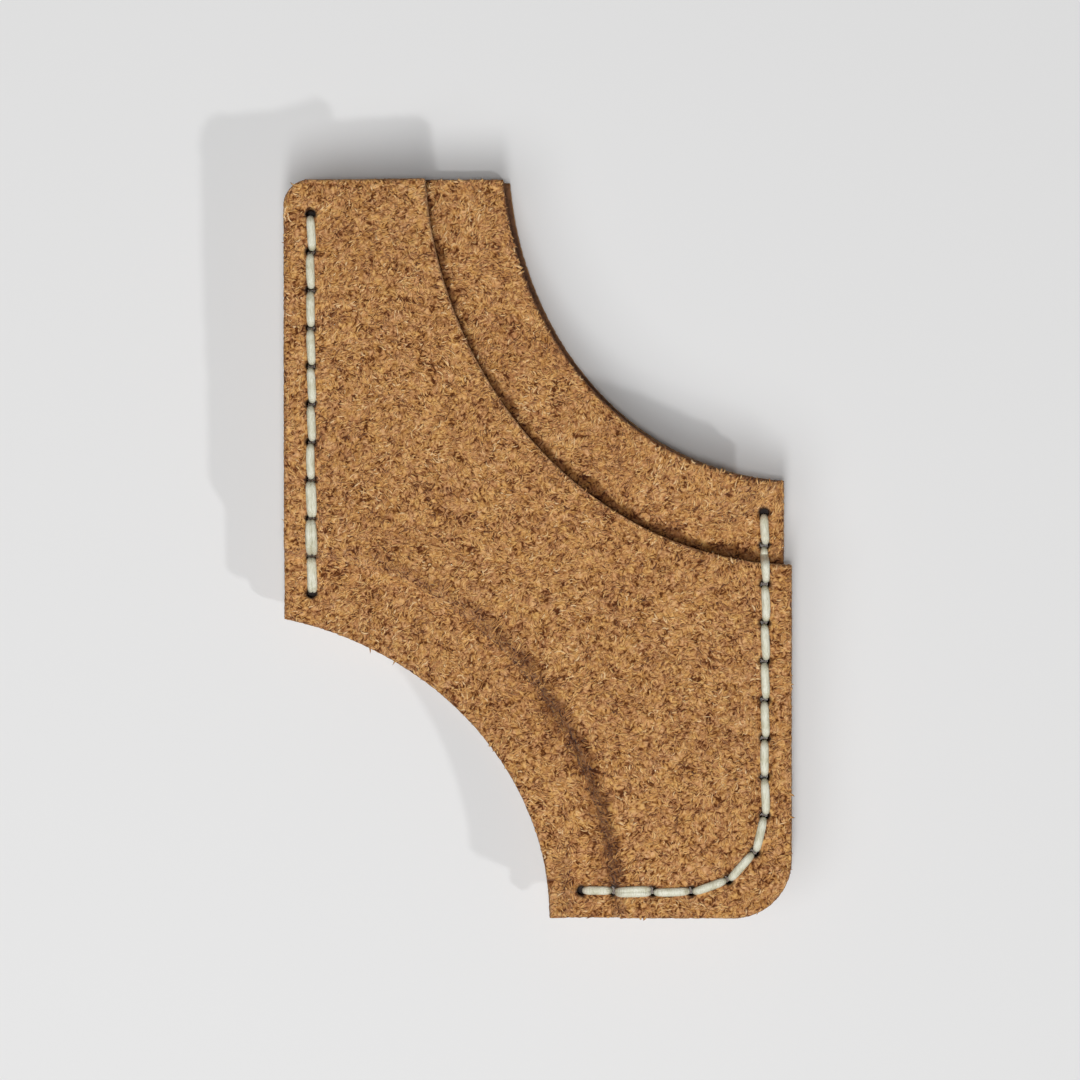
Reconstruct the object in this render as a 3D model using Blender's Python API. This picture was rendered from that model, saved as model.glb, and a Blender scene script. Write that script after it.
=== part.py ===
"""A hand-stitched leather finger sleeve: a back panel and two overlapping front flaps, sewn on both sides.

Metres. +Z is up, +Y runs toward the open top, and the origin lies under the middle of the sleeve, on the
surface that it rests on. The left seam joins the panels along -X. The right seam runs down +X, turns the
corner and closes the lower edge. A finger goes in at the upper right mouth and out at the lower left one.
"""

import math

import bpy
import numpy as np
from mathutils.geometry import delaunay_2d_cdt

# Overall sizes.
WIDTH = 0.0404
LENGTH = 0.0588
LEATHER = 0.0011
LAYER_GAP = 0.00025
LAYER_PITCH = LEATHER + LAYER_GAP

# The outline. The inner layers stop short of the outer flap's right edge.
TOP_LEFT_RADIUS = 0.0020
BOTTOM_RIGHT_RADIUS = 0.0046
RIGHT_STEP = 0.0006
LEFT = -WIDTH / 2
RIGHT = WIDTH / 2
BOTTOM = -LENGTH / 2
TOP = LENGTH / 2

# The curved edges are ellipses (centre x, centre y, half width, half height) set out from a corner.
UPPER_MOUTH = (RIGHT + 0.0005, TOP + 0.0026, 0.0231, 0.0266)
LOWER_MOUTH = (LEFT - 0.0063, BOTTOM, 0.0275, 0.0245)
HIDDEN_EDGE = (LEFT + 0.0006, BOTTOM - 0.0012, 0.0270, 0.0314)
INNER_MOUTH_SET_BACK = 0.0005
FRONT_LAP = 0.0067

# The seams.
SEAM_MARGIN = 0.0021
PRESSED_STRIP = 0.0030
STITCH = 0.0030
SHORT_STITCH = 0.0026
SEAM_BEND_RADIUS = 0.0062
LEFT_SEAM_END_MARGINS = (0.0027, 0.0020)
RIGHT_SEAM_END_MARGINS = (0.0025, 0.0025)
THREAD_RADIUS = 0.00038
HOLE_THREAD_RADIUS = 0.00028
THREAD_CLEARANCE = 0.00010
STRAND_OFFSET = HOLE_THREAD_RADIUS + 0.00004

# The course of one stitch, in shares of the way from hole to hole. It rises and thickens near its ends.
STITCH_SHARES = (0.0, 0.05, 0.14, 0.30, 0.50, 0.70, 0.86, 0.95, 1.0)
RISE_SHARE = 0.14
RISE_POWER = 0.35
THICK_SHARE = 0.3

# Where the leather is felt along a stitch, in thread radii ahead of each point, so that it passes clear.
FEEL_AHEAD = (-1.6, -0.8, 0.0, 0.8, 1.6)

# How far the seams lie above the surface, to the underside of the back panel.
LEFT_LIFT_TOP = 0.0037
LEFT_LIFT_FOOT = 0.0029
RIGHT_LIFT_TOP = 0.0038
LOWER_LIFT = 0.0032
LEFT_LIFT_BLEND_Y = BOTTOM * 0.7
RIGHT_LIFT_BLEND_Y = BOTTOM * 0.5
TOP_RIM_LIFT = 0.0004
TOP_RIM_REACH = 0.0140
CORNER_DROOP = 0.0008
CORNER_DROOP_REACH = 0.0018

# The back panel is level along its sewn edges and flat in the middle. These are the slopes between.
LEFT_SLOPE = 0.0105
RIGHT_SLOPE = 0.0115
LOWER_SLOPE = 0.0125
DISH_POWER = 1.8

# How far the front arches above the seams: at the top edge, the middle, the lower lip and the lower edge.
FRONT_RISES = ((TOP, 0.0010), (0.0, 0.0018), (BOTTOM * 0.54, 0.0024), (BOTTOM, 0.0014))
ARCH_POWER = 2.4
PRESSED_BAND = 0.0090
INNER_FLARE = 0.0027
INNER_FLARE_START = 0.0180
INNER_FLARE_FULL = 0.0040
INNER_FLARE_REACH = 0.0060
INNER_FLARE_SEAM_REACH = 0.0020
OUTER_FLARE_TOP = 0.0008
OUTER_FLARE = 0.0003
OUTER_FLARE_REACH = 0.0050
RIDGE_START = 0.0006
RIDGE_RUN = 0.0026

# Meshing. The clear distances keep the filling points off the outline and off the ridge rows.
PANEL_SPACING = 0.0022
OUTLINE_SPACING = 0.0016
RIDGE_CLEAR = PANEL_SPACING * 0.4
GRID_CLEAR = PANEL_SPACING * 0.55
SEAM_REACH = 0.0200
SLOPE_STEP = 0.0002
SHARP_ANGLE = 40

LEFT_SEAM_X = LEFT + SEAM_MARGIN
RIGHT_SEAM_X = RIGHT - SEAM_MARGIN
LOWER_SEAM_Y = BOTTOM + SEAM_MARGIN
LEFT_PRESS_X = LEFT + PRESSED_STRIP
RIGHT_PRESS_X = RIGHT - PRESSED_STRIP
LOWER_PRESS_Y = BOTTOM + PRESSED_STRIP


def clear_scene():
    for obj in list(bpy.data.objects):
        bpy.data.objects.remove(obj, do_unlink=True)


def material(name, colour, roughness):
    made = bpy.data.materials.new(name)
    made.use_nodes = True
    shader = made.node_tree.nodes["Principled BSDF"]
    shader.inputs["Base Color"].default_value = (*colour, 1.0)
    shader.inputs["Roughness"].default_value = roughness
    shader.inputs["Metallic"].default_value = 0.0
    return made


def ease(value):
    """0 below 0, 1 above 1, and smooth between."""
    value = min(max(value, 0.0), 1.0)
    return value * value * (3.0 - 2.0 * value)


def mix(first, second, share):
    return first + (second - first) * share


# Ellipses.


def grown(ellipse, by):
    centre_x, centre_y, half_width, half_height = ellipse
    return (centre_x, centre_y, half_width + by, half_height + by)


def shifted(ellipse, by_x):
    return (ellipse[0] + by_x, *ellipse[1:])


def outside(ellipse, x, y):
    """How far the point lies outside the ellipse, less than 0 inside it."""
    centre_x, centre_y, half_width, half_height = ellipse
    across = (x - centre_x) / half_width
    along = (y - centre_y) / half_height
    return (math.hypot(across, along) - 1.0) * min(half_width, half_height)


def x_at(ellipse, y, side):
    centre_x, centre_y, half_width, half_height = ellipse
    return centre_x + side * half_width * math.sqrt(1.0 - ((y - centre_y) / half_height) ** 2)


def y_at(ellipse, x, side):
    centre_x, centre_y, half_width, half_height = ellipse
    return centre_y + side * half_height * math.sqrt(1.0 - ((x - centre_x) / half_width) ** 2)


def ellipse_arc(ellipse, start, end):
    """Points along the ellipse from start to end, the short way round."""
    centre_x, centre_y, half_width, half_height = ellipse
    first = math.atan2((start[1] - centre_y) / half_height, (start[0] - centre_x) / half_width)
    last = math.atan2((end[1] - centre_y) / half_height, (end[0] - centre_x) / half_width)
    turn = (last - first + math.pi) % (2.0 * math.pi) - math.pi
    count = max(2, round(abs(turn) * max(half_width, half_height) / OUTLINE_SPACING))
    angles = [first + turn * step / count for step in range(count + 1)]
    return [(centre_x + half_width * math.cos(a), centre_y + half_height * math.sin(a)) for a in angles]


def straight(start, end):
    """Points from start up to, not including, end."""
    count = max(1, round(math.dist(start, end) / OUTLINE_SPACING))
    shares = [step / count for step in range(count)]
    return [(mix(start[0], end[0], s), mix(start[1], end[1], s)) for s in shares]


def corner_arc(centre, radius, first, last):
    """Points along a round corner, with the angles in degrees."""
    count = max(3, round(math.radians(abs(last - first)) * radius / OUTLINE_SPACING))
    angles = [math.radians(mix(first, last, step / count)) for step in range(count)]
    return [(centre[0] + radius * math.cos(a), centre[1] + radius * math.sin(a)) for a in angles]


# The three panels seen from above.


def panel_outline(upper, lower, right):
    """The outline of one panel, anticlockwise, ending at its top left corner."""
    top_corner = (x_at(upper, TOP, -1), TOP)
    side_corner = (right, y_at(upper, right, -1))
    foot_corner = (x_at(lower, BOTTOM, 1), BOTTOM)
    left_corner = (LEFT, y_at(lower, LEFT, 1))
    top_left = (LEFT + TOP_LEFT_RADIUS, TOP - TOP_LEFT_RADIUS)
    bottom_right = (right - BOTTOM_RIGHT_RADIUS, BOTTOM + BOTTOM_RIGHT_RADIUS)
    points = corner_arc(top_left, TOP_LEFT_RADIUS, 180, 90)
    points += straight((top_left[0], TOP), top_corner)
    points += ellipse_arc(upper, top_corner, side_corner)[:-1]
    points += straight(side_corner, (right, bottom_right[1]))
    points += corner_arc(bottom_right, BOTTOM_RIGHT_RADIUS, 0, -90)
    points += straight((bottom_right[0], BOTTOM), foot_corner)
    points += ellipse_arc(lower, foot_corner, left_corner)[:-1]
    points += straight(left_corner, (LEFT, top_left[1]))
    return points[::-1]


INNER_MOUTH = shifted(UPPER_MOUTH, -INNER_MOUTH_SET_BACK)
OUTER_MOUTH = grown(UPPER_MOUTH, FRONT_LAP)
INNER_RIGHT = RIGHT - RIGHT_STEP
LEFT_FOOT_Y = y_at(LOWER_MOUTH, LEFT, 1)
LOWER_CORNER_X = x_at(LOWER_MOUTH, BOTTOM, 1)
RIGHT_TOP_Y = y_at(INNER_MOUTH, INNER_RIGHT, -1)


# Heights. Each is the height of the middle of a leather layer at x, y.


def left_lift(y):
    upper = mix(LEFT_LIFT_FOOT, LEFT_LIFT_TOP, ease((y - LEFT_FOOT_Y) / (TOP - LEFT_FOOT_Y)))
    blend = ease((y - LEFT_LIFT_BLEND_Y) / (LEFT_FOOT_Y - LEFT_LIFT_BLEND_Y))
    return mix(LOWER_LIFT, upper, blend)


def right_lift(y):
    blend = ease((y - RIGHT_LIFT_BLEND_Y) / (RIGHT_TOP_Y - RIGHT_LIFT_BLEND_Y))
    return mix(LOWER_LIFT, RIGHT_LIFT_TOP, blend)


def slope_share(past, length):
    """0 on the flat middle of the back panel, 1 along the sewn edge."""
    return min(max(past / length, 0.0), 1.0) ** DISH_POWER


def back_height(x, y):
    """The back panel is a dish, flat in the middle. Its corners droop past the seam ends."""
    left = slope_share(LEFT_PRESS_X + LEFT_SLOPE - x, LEFT_SLOPE)
    right = slope_share(x - RIGHT_PRESS_X + RIGHT_SLOPE, RIGHT_SLOPE)
    lower = slope_share(LOWER_PRESS_Y + LOWER_SLOPE - y, LOWER_SLOPE)
    rim = TOP_RIM_LIFT * ease((y - TOP + TOP_RIM_REACH) / TOP_RIM_REACH) * (1.0 - left)
    foot_droop = left * ease(1.0 - (y - LEFT_FOOT_Y) / CORNER_DROOP_REACH)
    corner_droop = lower * ease(1.0 - (x - LOWER_CORNER_X) / CORNER_DROOP_REACH)
    lift = left_lift(y) * left + right_lift(y) * (1.0 - (1.0 - right) * (1.0 - lower))
    return LEATHER / 2 + lift + rim - CORNER_DROOP * (foot_droop + corner_droop)


def front_rise(y):
    for (upper_y, upper), (lower_y, lower) in zip(FRONT_RISES, FRONT_RISES[1:]):
        if y >= lower_y:
            return mix(lower, upper, ease((y - lower_y) / (upper_y - lower_y)))
    return FRONT_RISES[-1][1]


def inner_flare(x, y):
    """The inner flap's lip curls up toward the right end of the upper mouth."""
    along = ease((x - RIGHT + INNER_FLARE_START) / (INNER_FLARE_START - INNER_FLARE_FULL))
    at_seam = ease((x - RIGHT + 2.0 * INNER_FLARE_FULL) / (2.0 * INNER_FLARE_FULL - SEAM_MARGIN))
    reach = mix(INNER_FLARE_REACH, INNER_FLARE_SEAM_REACH, at_seam)
    near = ease(1.0 - outside(INNER_MOUTH, x, y) / reach)
    fall = 1.0 - ease((x - RIGHT + INNER_FLARE_FULL) / (INNER_FLARE_FULL - RIGHT_STEP))
    return INNER_FLARE * near * along * fall


def inner_height(x, y):
    """The front arches between the seams, and meets the back panel at the seams."""
    share = min(max((x - LEFT_PRESS_X) / (RIGHT_PRESS_X - LEFT_PRESS_X), 0.0), 1.0)
    base = mix(left_lift(y), right_lift(y), share) + LEATHER / 2 + LAYER_PITCH
    arch = 1.0 - abs(2.0 * share - 1.0) ** ARCH_POWER
    pressed = min(max(1.0 - (y - LOWER_PRESS_Y) / PRESSED_BAND, 0.0), 1.0) ** 2
    pressed *= ease((x - LOWER_CORNER_X) / CORNER_DROOP_REACH)
    return base + front_rise(y) * arch * (1.0 - pressed) + inner_flare(x, y)


def steepness(height, x, y):
    """The length of the surface's upward normal when its z part is 1."""
    across = (height(x + SLOPE_STEP, y) - height(x - SLOPE_STEP, y)) / (2.0 * SLOPE_STEP)
    along = (height(x, y + SLOPE_STEP) - height(x, y - SLOPE_STEP)) / (2.0 * SLOPE_STEP)
    return math.sqrt(1.0 + across * across + along * along)


def outer_height(x, y):
    """The outer flap lies on the inner one, steps down past its hidden edge, and lifts at its own mouth."""
    over = ease(1.0 + (outside(HIDDEN_EDGE, x, y) + RIDGE_START) / RIDGE_RUN)
    near = ease(1.0 - outside(OUTER_MOUTH, x, y) / OUTER_FLARE_REACH)
    inside = ease((x - LEFT_PRESS_X) / PRESSED_STRIP) * ease((RIGHT_PRESS_X - x) / PRESSED_STRIP)
    flare = mix(OUTER_FLARE, OUTER_FLARE_TOP, ease(y / TOP)) * near * inside
    return inner_height(x, y) + LAYER_PITCH * over * steepness(inner_height, x, y) + flare


# Seams.


def seam_route(corners, margins, end_stitch, radius):
    """Evenly spaced holes, as (x, y, direction), along a line through the corners with a round bend."""
    path = bend(corners, radius)
    lengths = [0.0]
    for first, second in zip(path, path[1:]):
        lengths.append(lengths[-1] + math.dist(first, second))
    total = lengths[-1] - sum(margins)
    count = max(2, round((total - 2.0 * end_stitch) / STITCH))
    even = (total - 2.0 * end_stitch) / count
    places = [0.0] + [end_stitch + even * step for step in range(count + 1)] + [total]
    return [point_along(path, lengths, margins[0] + place) for place in places]


def bend(corners, radius):
    if len(corners) == 2:
        return corners
    start, corner, end = corners
    centre = (corner[0] - radius, corner[1] + radius)
    return [start, *corner_arc(centre, radius, 0, -90), (centre[0], corner[1]), end]


def point_along(path, lengths, place):
    index = max(i for i, length in enumerate(lengths[:-1]) if length <= place + 1e-9)
    (x0, y0), (x1, y1) = path[index], path[index + 1]
    share = (place - lengths[index]) / (lengths[index + 1] - lengths[index])
    angle = math.atan2(y1 - y0, x1 - x0)
    return (mix(x0, x1, share), mix(y0, y1, share), angle)


def left_seam_holes():
    corners = [(LEFT_SEAM_X, TOP), (LEFT_SEAM_X, LEFT_FOOT_Y)]
    return seam_route(corners, LEFT_SEAM_END_MARGINS, STITCH, 0.0)


def right_seam_holes():
    corners = [
        (RIGHT_SEAM_X, RIGHT_TOP_Y),
        (RIGHT_SEAM_X, LOWER_SEAM_Y),
        (LOWER_CORNER_X, LOWER_SEAM_Y),
    ]
    return seam_route(corners, RIGHT_SEAM_END_MARGINS, SHORT_STITCH, SEAM_BEND_RADIUS)


def hole_outline(hole):
    """An eight-sided slot across the seam, wide enough for two strands side by side."""
    x, y, angle = hole
    half_across = STRAND_OFFSET + HOLE_THREAD_RADIUS + THREAD_CLEARANCE
    half_along = HOLE_THREAD_RADIUS + THREAD_CLEARANCE
    chamfer = half_along / 2
    quarter = [(half_along, half_across - chamfer), (half_along - chamfer, half_across)]
    shape = quarter + [(-a, b) for a, b in reversed(quarter)]
    shape += [(-a, -b) for a, b in shape]
    cos, sin = math.cos(angle), math.sin(angle)
    return [(x + a * cos - b * sin, y + a * sin + b * cos) for a, b in shape]


# Solids.


def far_from(points, others, reach):
    """The points that lie farther than reach from all the others."""
    gaps = np.linalg.norm(np.array(points)[:, None] - np.array(others)[None], axis=2)
    return [point for point, gap in zip(points, gaps.min(axis=1)) if gap > reach]


def ridge_points(outline):
    """Rows of points along the step over the hidden edge, so that the outer flap bends along it."""
    rows = []
    for share in (0.0, 0.5, 1.0):
        row = grown(HIDDEN_EDGE, -RIDGE_START - share * RIDGE_RUN)
        rows += ellipse_arc(row, (x_at(row, BOTTOM, 1), BOTTOM), (LEFT, y_at(row, LEFT, 1)))
    return far_from(rows, outline, RIDGE_CLEAR)


def grid_points(outline, rows):
    xs = np.arange(LEFT, RIGHT, PANEL_SPACING) + PANEL_SPACING / 2
    ys = np.arange(BOTTOM, TOP, PANEL_SPACING) + PANEL_SPACING / 2
    grid = [(x, y) for x in xs for y in ys]
    return far_from(grid, outline + rows, GRID_CLEAR)


def is_inside(outline, x, y):
    inside = False
    for (x0, y0), (x1, y1) in zip(outline, outline[1:] + outline[:1]):
        if (y0 > y) != (y1 > y) and x < x0 + (x1 - x0) * (y - y0) / (y1 - y0):
            inside = not inside
    return inside


def add_object(name, data):
    obj = bpy.data.objects.new(name, data)
    bpy.context.scene.collection.objects.link(obj)
    return obj


def hole_cutter(holes):
    """Upright prisms through every stitch hole. They only cut."""
    points = []
    faces = []
    for hole in holes:
        shape = hole_outline(hole)
        count = len(shape)
        first = len(points)
        points += [(x, y, z) for z in (-SEAM_REACH, SEAM_REACH) for x, y in shape]
        faces.append([first + k for k in reversed(range(count))])
        faces.append([first + count + k for k in range(count)])
        for k in range(count):
            after = (k + 1) % count
            faces.append([first + k, first + after, first + count + after, first + count + k])
    mesh = bpy.data.meshes.new("stitch_hole_cutter")
    mesh.from_pydata(points, [], faces)
    cutter = add_object("stitch_hole_cutter", mesh)
    cutter.hide_render = True
    cutter.display_type = "WIRE"
    return cutter


def leather_panel(name, outline, rows, height, leather, cutter):
    """A sheet of leather, bent to its heights, thickened and pierced."""
    loop = list(range(len(outline)))
    points = outline + rows + grid_points(outline, rows)
    flat, _, triangles, _, _, _ = delaunay_2d_cdt(points, [], [loop], 1, 1e-7)
    used = sorted({index for triangle in triangles for index in triangle})
    order = {index: place for place, index in enumerate(used)}
    bent = [(flat[i].x, flat[i].y, height(flat[i].x, flat[i].y)) for i in used]
    mesh = bpy.data.meshes.new(name)
    mesh.from_pydata(bent, [], [[order[index] for index in triangle] for triangle in triangles])
    mesh.materials.append(leather)
    mesh.shade_smooth()
    mesh.set_sharp_from_angle(angle=math.radians(SHARP_ANGLE))
    panel = add_object(name, mesh)
    thick = panel.modifiers.new("leather", "SOLIDIFY")
    thick.thickness = LEATHER
    thick.offset = 0.0
    pierced = panel.modifiers.new("stitch_holes", "BOOLEAN")
    pierced.operation = "DIFFERENCE"
    pierced.object = cutter
    return panel


def top_of(outlines, x, y):
    """The highest leather surface at x, y."""
    if is_inside(outlines["outer"], x, y):
        height = outer_height
    elif is_inside(outlines["inner"], x, y):
        height = inner_height
    else:
        height = back_height
    return height(x, y) + LEATHER / 2 * steepness(height, x, y)


def underside_of(x, y):
    return back_height(x, y) - LEATHER / 2 * steepness(back_height, x, y)


def clear_height(start, end, share, above, outlines):
    """A height at which a thread passes clear of the leather, at a share of the way from start to end."""
    length = math.dist(start[:2], end[:2])
    side_x = (end[1] - start[1]) / length * THREAD_RADIUS
    side_y = (start[0] - end[0]) / length * THREAD_RADIUS
    heights = []
    for ahead in FEEL_AHEAD:
        place = share + ahead * THREAD_RADIUS / length
        for side in (-1.0, 0.0, 1.0):
            x = mix(start[0], end[0], place) + side * side_x
            y = mix(start[1], end[1], place) + side * side_y
            heights.append(top_of(outlines, x, y) if above else underside_of(x, y))
    return max(heights) + THREAD_CLEARANCE if above else min(heights) - THREAD_CLEARANCE


def surface_run(start, end, above, outlines):
    """The points of one strand from hole to hole, over the leather or under it."""
    points = []
    for share in STITCH_SHARES:
        from_end = min(share, 1.0 - share)
        radius = mix(HOLE_THREAD_RADIUS, THREAD_RADIUS, ease(from_end / THICK_SHARE))
        off = (radius + THREAD_CLEARANCE) * min(from_end / RISE_SHARE, 1.0) ** RISE_POWER
        z = clear_height(start, end, share, above, outlines) + (off if above else -off)
        points.append((mix(start[0], end[0], share), mix(start[1], end[1], share), z, radius))
    return points


def strand_in_hole(hole, side):
    """Where a strand passes through a hole, to one side of its middle."""
    x, y, angle = hole
    return (x - side * STRAND_OFFSET * math.sin(angle), y + side * STRAND_OFFSET * math.cos(angle))


def saddle_stitch(holes, outlines):
    """One thread that runs to the far end and back, and so fills every stitch above and below."""
    last = len(holes) - 1
    passes = [(k, 1 if k % 2 else -1) for k in range(last + 1)]
    passes += [(k, -1 if k % 2 else 1) for k in range(last - 1, -1, -1)]
    route = []
    for (k, side), (after, after_side) in zip(passes, passes[1:]):
        start = strand_in_hole(holes[k], side)
        end = strand_in_hole(holes[after], after_side)
        route += surface_run(start, end, k % 2 == 0, outlines)
    # Both ends stay inside the first hole.
    for end in (0, -1):
        x, y, z, _ = route[end]
        inside = (x, y, mix(underside_of(x, y), top_of(outlines, x, y), 0.5), HOLE_THREAD_RADIUS)
        route.insert(0 if end == 0 else len(route), inside)
    return route


def thread(name, route, finish):
    curve = bpy.data.curves.new(name, "CURVE")
    curve.dimensions = "3D"
    curve.bevel_depth = THREAD_RADIUS
    curve.bevel_resolution = 1
    curve.use_fill_caps = True
    curve.twist_mode = "MINIMUM"
    spline = curve.splines.new("POLY")
    spline.points.add(len(route) - 1)
    for point, (x, y, z, radius) in zip(spline.points, route):
        point.co = (x, y, z, 1.0)
        point.radius = radius / THREAD_RADIUS
    spline.use_smooth = True
    curve.materials.append(finish)
    return add_object(name, curve)


def build():
    clear_scene()
    outlines = {
        "back": panel_outline(UPPER_MOUTH, LOWER_MOUTH, INNER_RIGHT),
        "inner": panel_outline(INNER_MOUTH, HIDDEN_EDGE, INNER_RIGHT),
        "outer": panel_outline(OUTER_MOUTH, LOWER_MOUTH, RIGHT),
    }
    left_holes = left_seam_holes()
    right_holes = right_seam_holes()
    back_leather = material("back_suede", (0.52, 0.28, 0.11), 0.95)
    inner_leather = material("inner_suede", (0.55, 0.29, 0.11), 0.95)
    outer_leather = material("outer_suede", (0.57, 0.30, 0.12), 0.95)
    waxed_thread = material("waxed_thread", (0.66, 0.64, 0.50), 0.55)
    cutter = hole_cutter(left_holes + right_holes)
    leather_panel("back_panel", outlines["back"], [], back_height, back_leather, cutter)
    leather_panel("inner_front_flap", outlines["inner"], [], inner_height, inner_leather, cutter)
    ridge = ridge_points(outlines["outer"])
    leather_panel("outer_front_flap", outlines["outer"], ridge, outer_height, outer_leather, cutter)
    thread("left_seam_thread", saddle_stitch(left_holes, outlines), waxed_thread)
    thread("right_seam_thread", saddle_stitch(right_holes, outlines), waxed_thread)


build()
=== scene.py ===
"""The looks of a hand-stitched leather finger sleeve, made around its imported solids.

Metres. +Z is up, +Y runs toward the open top, and the sleeve rests on z = 0. Each packed panel is replaced by
a fine leather sheet on the same surface, with a rough side, a smooth side, cut edges and open stitch holes.
Loose fibres lie on the rough sides that face up, and each seam gets waxed thread made of fine filaments.
"""

import math

import bpy
import numpy as np
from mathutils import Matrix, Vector
from mathutils.geometry import delaunay_2d_cdt


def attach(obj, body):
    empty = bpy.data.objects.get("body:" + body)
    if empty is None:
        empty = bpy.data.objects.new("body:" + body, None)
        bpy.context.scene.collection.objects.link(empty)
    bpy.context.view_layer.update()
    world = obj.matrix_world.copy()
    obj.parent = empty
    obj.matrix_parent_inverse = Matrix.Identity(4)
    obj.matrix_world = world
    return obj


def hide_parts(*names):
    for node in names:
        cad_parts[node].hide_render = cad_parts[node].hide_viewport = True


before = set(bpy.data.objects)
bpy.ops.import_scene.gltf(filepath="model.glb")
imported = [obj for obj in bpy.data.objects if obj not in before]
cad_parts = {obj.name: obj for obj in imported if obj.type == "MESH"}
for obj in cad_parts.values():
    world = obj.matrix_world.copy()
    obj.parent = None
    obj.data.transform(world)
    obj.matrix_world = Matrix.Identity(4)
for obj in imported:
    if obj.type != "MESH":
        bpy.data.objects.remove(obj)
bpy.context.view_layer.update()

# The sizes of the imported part, repeated from its source.
WIDTH = 0.0404
LENGTH = 0.0588
LEATHER = 0.0011
LAYER_GAP = 0.00025
LAYER_PITCH = LEATHER + LAYER_GAP
TOP_LEFT_RADIUS = 0.0020
BOTTOM_RIGHT_RADIUS = 0.0046
RIGHT_STEP = 0.0006
LEFT = -WIDTH / 2
RIGHT = WIDTH / 2
BOTTOM = -LENGTH / 2
TOP = LENGTH / 2
UPPER_MOUTH = (RIGHT + 0.0005, TOP + 0.0026, 0.0231, 0.0266)
LOWER_MOUTH = (LEFT - 0.0063, BOTTOM, 0.0275, 0.0245)
HIDDEN_EDGE = (LEFT + 0.0006, BOTTOM - 0.0012, 0.0270, 0.0314)
INNER_MOUTH_SET_BACK = 0.0005
FRONT_LAP = 0.0067
SEAM_MARGIN = 0.0021
PRESSED_STRIP = 0.0030
STITCH = 0.0030
SHORT_STITCH = 0.0026
SEAM_BEND_RADIUS = 0.0062
LEFT_SEAM_END_MARGINS = (0.0027, 0.0020)
RIGHT_SEAM_END_MARGINS = (0.0025, 0.0025)
LEFT_LIFT_TOP = 0.0037
LEFT_LIFT_FOOT = 0.0029
RIGHT_LIFT_TOP = 0.0038
LOWER_LIFT = 0.0032
TOP_RIM_LIFT = 0.0004
TOP_RIM_REACH = 0.0140
CORNER_DROOP = 0.0008
CORNER_DROOP_REACH = 0.0018
LEFT_SLOPE = 0.0105
RIGHT_SLOPE = 0.0115
LOWER_SLOPE = 0.0125
DISH_POWER = 1.8
FRONT_RISES = ((TOP, 0.0010), (0.0, 0.0018), (BOTTOM * 0.54, 0.0024), (BOTTOM, 0.0014))
ARCH_POWER = 2.4
PRESSED_BAND = 0.0090
INNER_FLARE = 0.0027
INNER_FLARE_START = 0.0180
INNER_FLARE_FULL = 0.0040
INNER_FLARE_REACH = 0.0060
INNER_FLARE_SEAM_REACH = 0.0020
OUTER_FLARE_TOP = 0.0008
OUTER_FLARE = 0.0003
OUTER_FLARE_REACH = 0.0050
LEFT_SEAM_X = LEFT + SEAM_MARGIN
RIGHT_SEAM_X = RIGHT - SEAM_MARGIN
LOWER_SEAM_Y = BOTTOM + SEAM_MARGIN
LEFT_PRESS_X = LEFT + PRESSED_STRIP
RIGHT_PRESS_X = RIGHT - PRESSED_STRIP
LOWER_PRESS_Y = BOTTOM + PRESSED_STRIP

# The leather sheets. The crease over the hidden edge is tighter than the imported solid's.
LOW_SHEET = "leather_back_panel"
SECOND_SHEET = "leather_inner_flap"
TOP_SHEET = "leather_outer_flap"
LOW_SEED = 11
SECOND_SEED = 21
TOP_SEED = 31
CREASE_RUN = 0.0013
SLOPE_STEP = 0.0002
SHEET_SPACING = 0.00024
SHEET_JITTER = 0.22
EDGE_SPACING = 0.00020
EDGE_ROUND = 0.00020
EDGE_DROP = 0.00008
EDGE_ROUGHNESS = 0.00006
HOLE_HALF_ACROSS = 0.00040
HOLE_HALF_ALONG = 0.00036
HOLE_POINTS = 18
DENT_DEPTH = 0.000156
DENT_REACH = 0.00085
HOLE_DENT_REACH = 0.00119
WALL_ROWS = 4
END_HOLE_SLANT = 0.00080
WAVE_SIZE = 0.0040
WAVE_HEIGHT = 0.000040
CLUMP_SIZE = 0.0012
CLUMP_HEIGHT = 0.000045
TUFT_SIZE = 0.00050
TUFT_HEIGHT = 0.000045
PIT_SIZE = 0.00062
PIT_START = 0.25
PIT_DEPTH = 0.000160
SMOOTH_RELIEF_SHARE = 0.25

# Painted shade, and one tint. Each shade is what the leather's or the thread's colour is multiplied by. Those
# of the holes, the crease, the fold, the inner mouth's edge and the sunk thread are painted shade; the lip's
# paints the paler cut edge onto the outer mouth's rim.
HOLE_PAINTED_SHADE = (0.10, 0.075, 0.06)
HOLE_SHADE_RADIUS = 0.00038
HOLE_SHADE_BLUR = 0.00022
LIP_SHADE = (1.25, 1.35, 1.55)
LIP_WIDTH = 0.00020
CREASE_PAINTED_SHADE = (0.50, 0.42, 0.34)
CREASE_SHADE_REACH = 0.0024
CREASE_BLUR = 0.00035
CREASE_NARROWING = 0.45
CREASE_FADING = 0.55
RAGGEDNESS = 0.00030
FOLD_PAINTED_SHADOW = (0.40, 0.33, 0.28)
FOLD_BLUR = 0.00030
FOLD_COVER_LEFT = 0.00035
FOLD_COVER_RIGHT = 0.00085
MOUTH_EDGE_PAINTED_SHADE = (0.45, 0.36, 0.32)
MOUTH_EDGE_WIDTH = 0.00020
CURLED_EDGE_WIDTH = 0.00055
SUNK_THREAD_PAINTED_SHADE = (0.14, 0.11, 0.07)
SUNK_THREAD_DEPTH = 0.00022

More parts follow.
